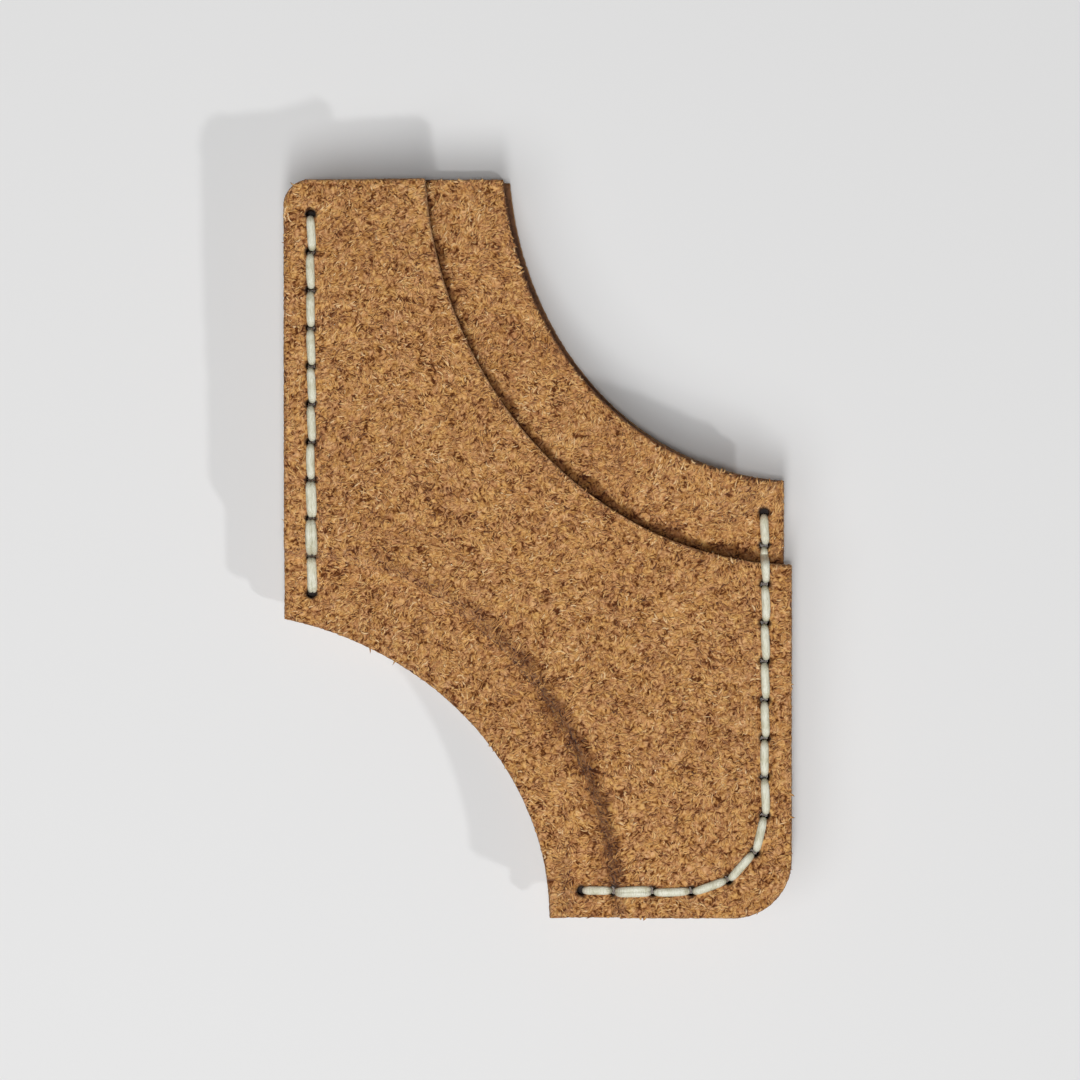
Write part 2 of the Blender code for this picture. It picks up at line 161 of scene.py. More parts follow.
# Loose fibres.
OUTER_FIBRES = 7200
INNER_FIBRES = 3900
FIBRE_RINGS = 3
SHORTEST_FIBRE = 0.00022
FIBRE_LENGTH_STEP = 0.000080
THINNEST_FIBRE = 0.000044
FIBRE_WIDTH_RANGE = 0.000090
LOWEST_FIBRE = -0.000030
HIGHEST_FIBRE = 0.000080
FIBRE_SPREAD = 0.55
FIBRE_REACH_SHARE = 0.36
MIDDLE_FIBRE_SHADE = 0.56
FIBRE_SHADE_SPREAD = 0.20
CREASE_FIBRE_PAINTED_SHADE = 0.44
STRAY_SHARE = 0.18
FIBRE_SEAM_GAP = 0.00042
FIBRE_HOLE_GAP = 0.00062

# Thread.
FILAMENTS = 13
FILAMENT_DEPTH = 0.13
ROUND_POINTS = 52
THREAD_TWIST = 900.0
THREAD_HALF_WIDTH = 0.00034
THREAD_HALF_HEIGHT = 0.00025
END_WIDTH_SHARE = 0.66
END_HEIGHT_SHARE = 0.5
DOUBLED_HALF_WIDTH = 0.00028
DOUBLED_SHIFTS = (-0.00014, 0.00016)
LEAST_LEAN = -0.00002
MOST_LEAN = 0.00020
STITCH_BOW = 0.00004


# Shaping numbers and ellipses, on single numbers or arrays.


def ease(value):
    """0 below 0, 1 above 1, and smooth between."""
    value = np.clip(value, 0.0, 1.0)
    return value * value * (3.0 - 2.0 * value)


def mix(first, second, share):
    return first + (second - first) * share


def grown(ellipse, by):
    return (ellipse[0], ellipse[1], ellipse[2] + by, ellipse[3] + by)


def shifted(ellipse, by_x):
    return (ellipse[0] + by_x, *ellipse[1:])


def outside(ellipse, x, y):
    """How far the point lies outside the ellipse, less than 0 inside it."""
    centre_x, centre_y, half_width, half_height = ellipse
    distance = np.hypot((x - centre_x) / half_width, (y - centre_y) / half_height)
    return (distance - 1.0) * min(half_width, half_height)


def x_at(ellipse, y, side):
    centre_x, centre_y, half_width, half_height = ellipse
    return centre_x + side * half_width * math.sqrt(1.0 - ((y - centre_y) / half_height) ** 2)


def y_at(ellipse, x, side):
    centre_x, centre_y, half_width, half_height = ellipse
    return centre_y + side * half_height * math.sqrt(1.0 - ((x - centre_x) / half_width) ** 2)


INNER_MOUTH = shifted(UPPER_MOUTH, -INNER_MOUTH_SET_BACK)
OUTER_MOUTH = grown(UPPER_MOUTH, FRONT_LAP)
INNER_RIGHT = RIGHT - RIGHT_STEP
LEFT_FOOT_Y = y_at(LOWER_MOUTH, LEFT, 1)
LOWER_CORNER_X = x_at(LOWER_MOUTH, BOTTOM, 1)
RIGHT_TOP_Y = y_at(INNER_MOUTH, INNER_RIGHT, -1)


# Outlines seen from above, anticlockwise.


def ellipse_arc(ellipse, start, end):
    """Points along the ellipse from start to end, the short way round."""
    centre_x, centre_y, half_width, half_height = ellipse
    first = math.atan2((start[1] - centre_y) / half_height, (start[0] - centre_x) / half_width)
    last = math.atan2((end[1] - centre_y) / half_height, (end[0] - centre_x) / half_width)
    turn = (last - first + math.pi) % (2.0 * math.pi) - math.pi
    count = max(2, round(abs(turn) * max(half_width, half_height) / EDGE_SPACING))
    angles = [first + turn * step / count for step in range(count + 1)]
    return [(centre_x + half_width * math.cos(a), centre_y + half_height * math.sin(a)) for a in angles]


def straight(start, end):
    """Points from start up to, not including, end."""
    count = max(1, round(math.dist(start, end) / EDGE_SPACING))
    shares = [step / count for step in range(count)]
    return [(mix(start[0], end[0], s), mix(start[1], end[1], s)) for s in shares]


def corner_arc(centre, radius, first, last):
    """Points along a round corner, with the angles in degrees."""
    count = max(3, round(math.radians(abs(last - first)) * radius / EDGE_SPACING))
    angles = [math.radians(mix(first, last, step / count)) for step in range(count)]
    return [(centre[0] + radius * math.cos(a), centre[1] + radius * math.sin(a)) for a in angles]


def panel_outline(upper, lower, right):
    top_corner = (x_at(upper, TOP, -1), TOP)
    side_corner = (right, y_at(upper, right, -1))
    foot_corner = (x_at(lower, BOTTOM, 1), BOTTOM)
    left_corner = (LEFT, y_at(lower, LEFT, 1))
    top_left = (LEFT + TOP_LEFT_RADIUS, TOP - TOP_LEFT_RADIUS)
    bottom_right = (right - BOTTOM_RIGHT_RADIUS, BOTTOM + BOTTOM_RIGHT_RADIUS)
    points = corner_arc(top_left, TOP_LEFT_RADIUS, 180, 90)
    points += straight((top_left[0], TOP), top_corner)
    points += ellipse_arc(upper, top_corner, side_corner)[:-1]
    points += straight(side_corner, (right, bottom_right[1]))
    points += corner_arc(bottom_right, BOTTOM_RIGHT_RADIUS, 0, -90)
    points += straight((bottom_right[0], BOTTOM), foot_corner)
    points += ellipse_arc(lower, foot_corner, left_corner)[:-1]
    points += straight(left_corner, (LEFT, top_left[1]))
    return np.array(points[::-1])


BACK_OUTLINE = panel_outline(UPPER_MOUTH, LOWER_MOUTH, INNER_RIGHT)
INNER_OUTLINE = panel_outline(INNER_MOUTH, HIDDEN_EDGE, INNER_RIGHT)
OUTER_OUTLINE = panel_outline(OUTER_MOUTH, LOWER_MOUTH, RIGHT)


# Heights. Each is the height of the middle of a leather layer at x, y.


def left_lift(y):
    upper = mix(LEFT_LIFT_FOOT, LEFT_LIFT_TOP, ease((y - LEFT_FOOT_Y) / (TOP - LEFT_FOOT_Y)))
    return mix(LOWER_LIFT, upper, ease((y - BOTTOM * 0.7) / (LEFT_FOOT_Y - BOTTOM * 0.7)))


def right_lift(y):
    return mix(LOWER_LIFT, RIGHT_LIFT_TOP, ease((y - BOTTOM * 0.5) / (RIGHT_TOP_Y - BOTTOM * 0.5)))


def slope_share(past, length):
    return np.clip(past / length, 0.0, 1.0) ** DISH_POWER


def back_height(x, y):
    left = slope_share(LEFT_PRESS_X + LEFT_SLOPE - x, LEFT_SLOPE)
    right = slope_share(x - RIGHT_PRESS_X + RIGHT_SLOPE, RIGHT_SLOPE)
    lower = slope_share(LOWER_PRESS_Y + LOWER_SLOPE - y, LOWER_SLOPE)
    rim = TOP_RIM_LIFT * ease((y - TOP + TOP_RIM_REACH) / TOP_RIM_REACH) * (1.0 - left)
    foot_droop = left * ease(1.0 - (y - LEFT_FOOT_Y) / CORNER_DROOP_REACH)
    corner_droop = lower * ease(1.0 - (x - LOWER_CORNER_X) / CORNER_DROOP_REACH)
    lift = left_lift(y) * left + right_lift(y) * (1.0 - (1.0 - right) * (1.0 - lower))
    return LEATHER / 2 + lift + rim - CORNER_DROOP * (foot_droop + corner_droop)


def front_rise(y):
    """How far the front stands over the seams halfway between them."""
    rise = np.full_like(y, FRONT_RISES[-1][1])
    for (lower_y, lower), (upper_y, upper) in zip(FRONT_RISES[::-1], FRONT_RISES[-2::-1]):
        here = mix(lower, upper, ease((y - lower_y) / (upper_y - lower_y)))
        rise = np.where(y >= lower_y, here, rise)
    return rise


def inner_flare(x, y):
    """How far the inner flap's lip curls up at the right of the upper mouth."""
    along = ease((x - RIGHT + INNER_FLARE_START) / (INNER_FLARE_START - INNER_FLARE_FULL))
    at_seam = ease((x - RIGHT + 2.0 * INNER_FLARE_FULL) / (2.0 * INNER_FLARE_FULL - SEAM_MARGIN))
    reach = mix(INNER_FLARE_REACH, INNER_FLARE_SEAM_REACH, at_seam)
    near = ease(1.0 - outside(INNER_MOUTH, x, y) / reach)
    fall = 1.0 - ease((x - RIGHT + INNER_FLARE_FULL) / (INNER_FLARE_FULL - RIGHT_STEP))
    return INNER_FLARE * near * along * fall


def inner_height(x, y):
    share = np.clip((x - LEFT_PRESS_X) / (RIGHT_PRESS_X - LEFT_PRESS_X), 0.0, 1.0)
    base = mix(left_lift(y), right_lift(y), share) + LEATHER / 2 + LAYER_PITCH
    arch = 1.0 - np.abs(2.0 * share - 1.0) ** ARCH_POWER
    pressed = np.clip(1.0 - (y - LOWER_PRESS_Y) / PRESSED_BAND, 0.0, 1.0) ** 2
    pressed = pressed * ease((x - LOWER_CORNER_X) / CORNER_DROOP_REACH)
    return base + front_rise(y) * arch * (1.0 - pressed) + inner_flare(x, y)


def slopes(height, x, y):
    """How steeply a layer rises along +X and along +Y."""
    across = (height(x + SLOPE_STEP, y) - height(x - SLOPE_STEP, y)) / (2.0 * SLOPE_STEP)
    along = (height(x, y + SLOPE_STEP) - height(x, y - SLOPE_STEP)) / (2.0 * SLOPE_STEP)
    return across, along


def outer_height(x, y):
    across, along = slopes(inner_height, x, y)
    over = ease(1.0 + outside(HIDDEN_EDGE, x, y) / CREASE_RUN)
    near = ease(1.0 - outside(OUTER_MOUTH, x, y) / OUTER_FLARE_REACH)
    inside = ease((x - LEFT_PRESS_X) / PRESSED_STRIP) * ease((RIGHT_PRESS_X - x) / PRESSED_STRIP)
    flare = mix(OUTER_FLARE, OUTER_FLARE_TOP, ease(y / TOP)) * near * inside
    return inner_height(x, y) + LAYER_PITCH * over * np.sqrt(1.0 + across**2 + along**2) + flare


def upward(height, x, y):
    """The unit normals of a layer, as rows."""
    across, along = slopes(height, x, y)
    normals = np.stack([-across, -along, np.ones_like(across)], axis=1)
    return normals / np.linalg.norm(normals, axis=1, keepdims=True)


# Stitch holes, as rows of x, y and the seam's direction.


def seam_holes(corners, margins, end_stitch, radius):
    """The holes of a seam through the corners, evenly pitched but for a stitch of its own at each end."""
    path = corners
    if len(corners) == 3:
        start, corner, end = corners
        centre = (corner[0] - radius, corner[1] + radius)
        path = [start, *corner_arc(centre, radius, 0, -90), (centre[0], corner[1]), end]
    lengths = np.concatenate([[0.0], np.cumsum([math.dist(a, b) for a, b in zip(path, path[1:])])])
    total = lengths[-1] - sum(margins)
    count = max(2, round((total - 2.0 * end_stitch) / STITCH))
    inner = end_stitch + np.arange(count + 1) * (total - 2.0 * end_stitch) / count
    places = margins[0] + np.concatenate([[0.0], inner, [total]])
    holes = []
    for place in places:
        index = int(np.searchsorted(lengths, place, side="right")) - 1
        (x0, y0), (x1, y1) = path[index], path[index + 1]
        share = (place - lengths[index]) / (lengths[index + 1] - lengths[index])
        holes.append((mix(x0, x1, share), mix(y0, y1, share), math.atan2(y1 - y0, x1 - x0)))
    return np.array(holes)


LEFT_HOLES = seam_holes(
    [(LEFT_SEAM_X, TOP), (LEFT_SEAM_X, LEFT_FOOT_Y)], LEFT_SEAM_END_MARGINS, STITCH, 0.0
)
RIGHT_HOLES = seam_holes(
    [(RIGHT_SEAM_X, RIGHT_TOP_Y), (RIGHT_SEAM_X, LOWER_SEAM_Y), (LOWER_CORNER_X, LOWER_SEAM_Y)],
    RIGHT_SEAM_END_MARGINS,
    SHORT_STITCH,
    SEAM_BEND_RADIUS,
)
ALL_HOLES = np.concatenate([LEFT_HOLES, RIGHT_HOLES])


# Noise on arrays.


def noise(x, y, size, seed):
    """Smooth noise from -1 to 1 whose lumps are about as wide as size."""
    cells = 256
    lattice = np.random.default_rng(seed).uniform(-1.0, 1.0, (cells, cells))
    across = x / size + 1000.0
    along = y / size + 1000.0
    i = np.floor(across).astype(int)
    j = np.floor(along).astype(int)
    u = ease(across - i)
    v = ease(along - j)
    i0, i1, j0, j1 = i % cells, (i + 1) % cells, j % cells, (j + 1) % cells
    low = mix(lattice[i0, j0], lattice[i1, j0], u)
    high = mix(lattice[i0, j1], lattice[i1, j1], u)
    return mix(low, high, v)


def nap_relief(x, y, seed):
    """How far the rough side stands proud: broad waves, clumps of nap and single tufts."""
    waves = WAVE_HEIGHT * noise(x, y, WAVE_SIZE, seed)
    clumps = CLUMP_HEIGHT * noise(x, y, CLUMP_SIZE, seed + 1)
    tufts = TUFT_HEIGHT * noise(x, y, TUFT_SIZE, seed + 2)
    pits = PIT_DEPTH * np.maximum(noise(x, y, PIT_SIZE, seed + 3) - PIT_START, 0.0)
    return waves + clumps + tufts - pits


def seam_line_distance(x, y):
    """How far each point lies from the nearest stitch."""
    nearest = np.full_like(x, 1.0)
    for holes in (LEFT_HOLES, RIGHT_HOLES):
        for (x0, y0, _), (x1, y1, _) in zip(holes, holes[1:]):
            length = math.hypot(x1 - x0, y1 - y0)
            along = ((x - x0) * (x1 - x0) + (y - y0) * (y1 - y0)) / length**2
            along = np.clip(along, 0.0, 1.0)
            gap = np.hypot(x - mix(x0, x1, along), y - mix(y0, y1, along))
            nearest = np.minimum(nearest, gap)
    return nearest


def hole_distance(x, y):
    """How far each point lies from the middle of the nearest stitch hole."""
    return np.min([np.hypot(x - hx, y - hy) for hx, hy, _ in ALL_HOLES], axis=0)


def dent(x, y):
    """How far the threads have pulled the leather in."""
    along_seam = ease(1.0 - seam_line_distance(x, y) / DENT_REACH)
    at_hole = ease(1.0 - hole_distance(x, y) / HOLE_DENT_REACH)
    return DENT_DEPTH * (along_seam + at_hole)


def is_inside(outline, x, y):
    inside = np.zeros(len(x), bool)
    for (x0, y0), (x1, y1) in zip(outline, np.roll(outline, -1, axis=0)):
        if y0 == y1:
            continue
        crosses = (y0 > y) != (y1 > y)
        inside ^= crosses & (x < x0 + (x1 - x0) * (y - y0) / (y1 - y0))
    return inside


def nearest_gap(x, y, others):
    """The distance from each point to the nearest of the others."""
    gaps = np.full(len(x), 1.0)
    for part in np.array_split(np.arange(len(x)), max(1, len(x) // 2000)):
        apart = np.hypot(x[part, None] - others[None, :, 0], y[part, None] - others[None, :, 1])
        gaps[part] = apart.min(axis=1)
    return gaps


# Leather sheets.


def hole_rim(hole):
    x, y, angle = hole
    turns = np.arange(HOLE_POINTS) * 2.0 * math.pi / HOLE_POINTS
    along = HOLE_HALF_ALONG * np.cos(turns)
    across = HOLE_HALF_ACROSS * np.sin(turns)
    cos, sin = math.cos(angle), math.sin(angle)
    return np.stack([x + along * cos - across * sin, y + along * sin + across * cos], axis=1)


def flat_sheet(outline, holes, rng):
    """Points and anticlockwise triangles that fill the outline but not the stitch holes."""
    rims = [hole_rim(hole) for hole in holes]
    rows = np.arange(BOTTOM, TOP, SHEET_SPACING * math.sqrt(3.0) / 2.0)
    columns = np.arange(LEFT, RIGHT + SHEET_SPACING, SHEET_SPACING)
    x, y = np.meshgrid(columns, rows)
    x = x + SHEET_SPACING / 2 * (np.arange(len(rows)) % 2)[:, None]
    jitter = rng.uniform(-SHEET_JITTER, SHEET_JITTER, (2, *x.shape)) * SHEET_SPACING
    x, y = (x + jitter[0]).ravel(), (y + jitter[1]).ravel()
    edge = np.concatenate([outline, *rims])
    kept = is_inside(outline, x, y)
    x, y = x[kept], y[kept]
    kept = nearest_gap(x, y, edge) > SHEET_SPACING * 0.6
    inner = np.stack([x[kept], y[kept]], axis=1)
    points = np.concatenate([edge, inner])
    count = len(outline)
    loops = [list(range(count))]
    for rim in rims:
        loops.append(list(range(count, count + len(rim))))
        count += len(rim)
    edges = [(a, b) for loop in loops for a, b in zip(loop, loop[1:] + loop[:1])]
    result = delaunay_2d_cdt([Vector(p) for p in points], edges, [loops[0]], 1, 1e-7)
    flat = np.array([tuple(v) for v in result[0]])
    triangles = np.array(result[2])
    middle = flat[triangles].mean(axis=1)
    for hx, hy, angle in holes:
        cos, sin = math.cos(angle), math.sin(angle)
        along = (middle[:, 0] - hx) * cos + (middle[:, 1] - hy) * sin
        across = (middle[:, 1] - hy) * cos - (middle[:, 0] - hx) * sin
        keep = np.hypot(along / HOLE_HALF_ALONG, across / HOLE_HALF_ACROSS) > 1.0
        triangles, middle = triangles[keep], middle[keep]
    used, order = np.unique(triangles, return_inverse=True)
    return flat[used], order.reshape(triangles.shape)


def slanted(holes):
    """One seam's holes in the lowest layer. The end ones slant in, so that no light shows through."""
    moved = holes.copy()
    for end, beside in ((0, 1), (-1, -2)):
        way = holes[beside, :2] - holes[end, :2]
        moved[end, :2] += way / np.linalg.norm(way) * END_HOLE_SLANT
    return moved


def rim_edges(triangles):
    """The directed edges that belong to one triangle only."""
    directed = np.concatenate([triangles[:, [0, 1]], triangles[:, [1, 2]], triangles[:, [2, 0]]])
    seen = {tuple(edge) for edge in directed.tolist()}
    return np.array([edge for edge in directed.tolist() if (edge[1], edge[0]) not in seen])


def both_sides(name, flat, outline, height, rough_on_top, seed):
    """The upper and lower vertices of a sheet. The lower ones stay on or above z = 0."""
    x, y = flat.T
    normals = upward(height, x, y)
    middle = np.stack([x, y, height(x, y)], axis=1)
    edge_gap = nearest_gap(x, y, outline)
    rounded = EDGE_DROP * np.clip(1.0 - edge_gap / EDGE_ROUND, 0.0, 1.0) ** 2
    rough = nap_relief(x, y, seed)
    smooth = SMOOTH_RELIEF_SHARE * rough
    above = LEATHER / 2 + (rough if rough_on_top else smooth) - rounded
    below = LEATHER / 2 + (smooth if rough_on_top else rough) - rounded
    if name == LOW_SHEET:
        below = below - dent(x, y)
    else:
        above = above - dent(x, y)
    top = middle + normals * above[:, None]
    bottom = middle - normals * below[:, None]
    bottom[:, 2] = np.maximum(bottom[:, 2], 0.0)
    return top, bottom


def outward(flat, edges, ring):
    """The level direction out of the sheet at each vertex of its rims."""
    step = flat[edges[:, 1]] - flat[edges[:, 0]]
    away = np.stack([step[:, 1], -step[:, 0]], axis=1)
    away /= np.linalg.norm(away, axis=1, keepdims=True)
    out = np.zeros((len(ring), 3))
    for column in (0, 1):
        np.add.at(out, np.searchsorted(ring, edges[:, column]), np.c_[away, np.zeros(len(away))])
    out /= np.maximum(np.linalg.norm(out, axis=1, keepdims=True), 1e-9)
    return out


def leather_sheet(name, outline, height, rough_on_top, materials, seed):
    """A sheet of leather on a layer's surface, with rough and smooth sides, walls and open stitch holes."""
    rng = np.random.default_rng(seed)
    holes = ALL_HOLES[is_inside(outline, ALL_HOLES[:, 0], ALL_HOLES[:, 1])]
    if name == LOW_SHEET:
        holes = np.concatenate([slanted(LEFT_HOLES), slanted(RIGHT_HOLES)])
    flat, triangles = flat_sheet(outline, holes, rng)
    top, bottom = both_sides(name, flat, outline, height, rough_on_top, seed)
    edges = rim_edges(triangles)
    ring = np.unique(edges)
    out = outward(flat, edges, ring)
    rows = []
    for row in range(1, WALL_ROWS + 1):
        share = row / (WALL_ROWS + 1)
        bulge = EDGE_ROUGHNESS * (rng.uniform(-0.5, 0.5, len(ring)) + math.sin(math.pi * share))
        rows.append(mix(top[ring], bottom[ring], share) + out * bulge[:, None])
    vertices = np.concatenate([top, bottom, *rows])
    count = len(flat)
    levels = [ring] + [2 * count + k * len(ring) + np.arange(len(ring)) for k in range(WALL_ROWS)]
    levels.append(ring + count)
    first = np.searchsorted(ring, edges[:, 0])
    after = np.searchsorted(ring, edges[:, 1])
    walls = []
    for upper, lower in zip(levels, levels[1:]):
        walls.append(np.stack([upper[after], upper[first], lower[first], lower[after]], axis=1))
    walls = np.concatenate(walls)
    faces = triangles.tolist() + (triangles[:, ::-1] + count).tolist() + walls.tolist()
    upper_slot, lower_slot = (0, 1) if rough_on_top else (1, 0)
    side = len(triangles)
    slots = np.repeat([upper_slot, lower_slot, 2], [side, side, len(walls)])
    sheet = add_mesh(name, vertices, faces, materials, slots)
    add_painted_shade_and_tint(sheet, painted_shade_and_tint(name, vertices))
    return sheet


def add_painted_shade_and_tint(piece, shade):
    """Gives each vertex the value that its material's colour is multiplied by."""
    layer = piece.data.color_attributes.new("painted_shade_and_tint", "FLOAT_COLOR", "POINT")
    layer.data.foreach_set("color", shade.astype(np.float32).ravel())


def fold_edge(x, y):
    """How far from the outer mouth the fold in the inner flap, painted with shadow, begins. It is ragged."""
    ragged = RAGGEDNESS * noise(x, y, 0.0007, 88) + RAGGEDNESS * noise(x, y, 0.0026, 89)
    return -(mix(FOLD_COVER_LEFT, FOLD_COVER_RIGHT, ease((x + 0.008) / 0.012)) + ragged)


def in_crease(x, y):
    """1 where painted shade darkens the foot of the crease over the hidden edge, and 0 away from it.

    It narrows and fades toward the left, and ends at the lower seam.
    """
    inside = -outside(HIDDEN_EDGE, x, y) + RAGGEDNESS * noise(x, y, 0.0011, 90)
    sharp = ease((inside + 0.00005) / CREASE_BLUR)
    reach = CREASE_SHADE_REACH * mix(CREASE_NARROWING, 1.0, ease((-y - 0.005) / 0.009))
    strength = mix(CREASE_FADING, 1.0, ease((-y - 0.003) / 0.008)) * ease((x - LEFT_PRESS_X) / 0.010)
    past_seam = ease((LOWER_SEAM_Y + 0.0008 - y) / 0.0012)
    return strength * sharp * ease(1.25 - inside / reach) * (1.0 - past_seam)


def tint(shade, colour, share):
    """Multiplies the shades by a colour, each as far as its share says."""
    shade[:, :3] *= mix(1.0, np.array(colour), share[:, None])


def painted_shade_and_tint(name, vertices):
    """The shades of a sheet's vertices: painted shade in the holes, the crease, the fold along the outer
    mouth and the inner mouth's edge, and the cut edge's paler colour on the outer mouth's rim.
    """
    x, y = vertices[:, 0], vertices[:, 1]
    shade = np.ones((len(vertices), 4))
    # Painted shade darkens the leather in and around each stitch hole.
    tint(shade, HOLE_PAINTED_SHADE, ease(1.0 - (hole_distance(x, y) - HOLE_SHADE_RADIUS) / HOLE_SHADE_BLUR))
    if name == TOP_SHEET:
        tint(shade, LIP_SHADE, ease(1.0 - outside(OUTER_MOUTH, x, y) / LIP_WIDTH))
        # Painted shade along the foot of the crease.
        tint(shade, CREASE_PAINTED_SHADE, in_crease(x, y))
    if name == SECOND_SHEET:
        past_fold = outside(OUTER_MOUTH, x, y) - fold_edge(x, y)
        # Painted shadow on the inner flap along the outer mouth.
        tint(shade, FOLD_PAINTED_SHADOW, ease(past_fold / FOLD_BLUR + 0.5))
        # Painted shade along the inner mouth's edge, wider where the corner curls.
        width = mix(MOUTH_EDGE_WIDTH, CURLED_EDGE_WIDTH, ease((x - 0.013) / 0.005))
        tint(shade, MOUTH_EDGE_PAINTED_SHADE, ease(1.0 - outside(INNER_MOUTH, x, y) / width))
    return shade


def add_mesh(name, vertices, faces, materials, slots=None):
    mesh = bpy.data.meshes.new(name)
    mesh.from_pydata(vertices.tolist(), [], faces)
    for finish in materials:
        mesh.materials.append(finish)
    if slots is not None:
        mesh.polygons.foreach_set("material_index", slots.astype(np.int32))
    mesh.shade_smooth()
    mesh.update()
    piece = bpy.data.objects.new(name, mesh)
    bpy.context.scene.collection.objects.link(piece)
    return piece


# Loose fibres.


def fibre_faces(count):
    """The triangles of that many fibres: a tip, rings of three vertices and a tip."""
    pattern = []
    last = 1 + 3 * (FIBRE_RINGS - 1)
    tip = 1 + 3 * FIBRE_RINGS
    for k in range(3):
        after = (k + 1) % 3
        pattern.append((0, 1 + after, 1 + k))
        for ring in range(FIBRE_RINGS - 1):
            a, b = 1 + 3 * ring + k, 1 + 3 * ring + after
            pattern.append((a, b, b + 3))
            pattern.append((a, b + 3, a + 3))
        pattern.append((last + k, last + after, tip))
    starts = (tip + 1) * np.arange(count)
    return (np.array(pattern)[None] + starts[:, None, None]).reshape(-1, 3)


def fibre_mesh(name, roots, angles, lengths, widths, lifts, bends, shades, surface, finish):
    """Thin curved fibres that lie on a surface, each a closed strand that tapers at both ends.

    Each fibre's shade and the place along it are its map coordinates, which its material reads.
    """
    count = len(roots)
    shares = np.linspace(0.0, 1.0, FIBRE_RINGS + 2)
    centres = np.zeros((count, len(shares), 3))
    heading = angles[:, None] + bends[:, None] * (shares[None] - 0.5)
    along = lengths[:, None] * (shares[None] - 0.5)
    centres[:, :, 0] = roots[:, None, 0] + along * np.cos(heading)
    centres[:, :, 1] = roots[:, None, 1] + along * np.sin(heading)
    base, normals = surface(centres[:, :, 0].ravel(), centres[:, :, 1].ravel())
    out = normals.reshape(count, -1, 3)
    lift = lifts[:, None] * np.sin(math.pi * shares[None] ** 0.8) - 0.00002
    centres = base.reshape(count, -1, 3) + out * lift[:, :, None]
    tangents = np.gradient(centres, axis=1)
    tangents /= np.linalg.norm(tangents, axis=2, keepdims=True)
    sides = np.cross(tangents, out)
    sides /= np.linalg.norm(sides, axis=2, keepdims=True)
    rings = []
    for k in range(1, FIBRE_RINGS + 1):
        girth = widths * math.sin(math.pi * k / (FIBRE_RINGS + 1)) ** 0.6
        for turn in (90.0, 210.0, 330.0):
            across = math.cos(math.radians(turn)) * girth
            rise = 0.7 * math.sin(math.radians(turn)) * girth
            rings.append(centres[:, k] + sides[:, k] * across[:, None] + out[:, k] * rise[:, None])
    vertices = np.stack([centres[:, 0], *rings, centres[:, -1]], axis=1)
    faces = fibre_faces(count)
    piece = add_mesh(name, vertices.reshape(-1, 3), faces.tolist(), [finish])
    along_map = np.concatenate([[0.0], np.repeat(shares[1:-1], 3), [1.0]])
    spread = np.concatenate([[0.0], np.tile([-1.0, 0.0, 1.0], FIBRE_RINGS), [0.0]]) * 0.003
    u = shades[:, None] * 0.98 + 0.01 + spread[None]
    v = np.broadcast_to(0.01 + 0.98 * along_map, u.shape)
    maps = np.stack([u.ravel(), v.ravel()], axis=1)[faces.ravel()]
    layer = piece.data.uv_layers.new(name="OFBake")
    layer.uv.foreach_set("vector", maps.astype(np.float32).ravel())
    return piece


def sweep(x, y, seed):
    """The direction in which the nap has been brushed at each point."""
    broad = noise(x, y, 0.0090, seed) * 1.3
    local = noise(x, y, 0.0022, seed + 1) * 1.5
    return math.radians(28.0) + broad + local


def scatter(count, outline, keep_out, rng):
    """Random places inside the outline, away from the stitch holes and threads."""
    found = np.zeros((0, 2))
    while len(found) < count:
        x = rng.uniform(LEFT, RIGHT, 2 * count)
        y = rng.uniform(BOTTOM, TOP, 2 * count)
        kept = is_inside(outline, x, y)
        x, y = x[kept], y[kept]
        kept = ~keep_out(x, y)
        found = np.concatenate([found, np.stack([x[kept], y[kept]], axis=1)])
    return found[:count]


def layer_surface(height, seed):
    """A function from x, y to points and normals on the upper, rough side of a sheet."""

    def surface(x, y):
        normals = upward(height, x, y)
        relief = nap_relief(x, y, seed) - dent(x, y)
        points = np.stack([x, y, height(x, y)], axis=1)
        return points + normals * (LEATHER / 2 + relief)[:, None], normals

    return surface


def near_thread(x, y):
    return (seam_line_distance(x, y) < FIBRE_SEAM_GAP) | (hole_distance(x, y) < FIBRE_HOLE_GAP)


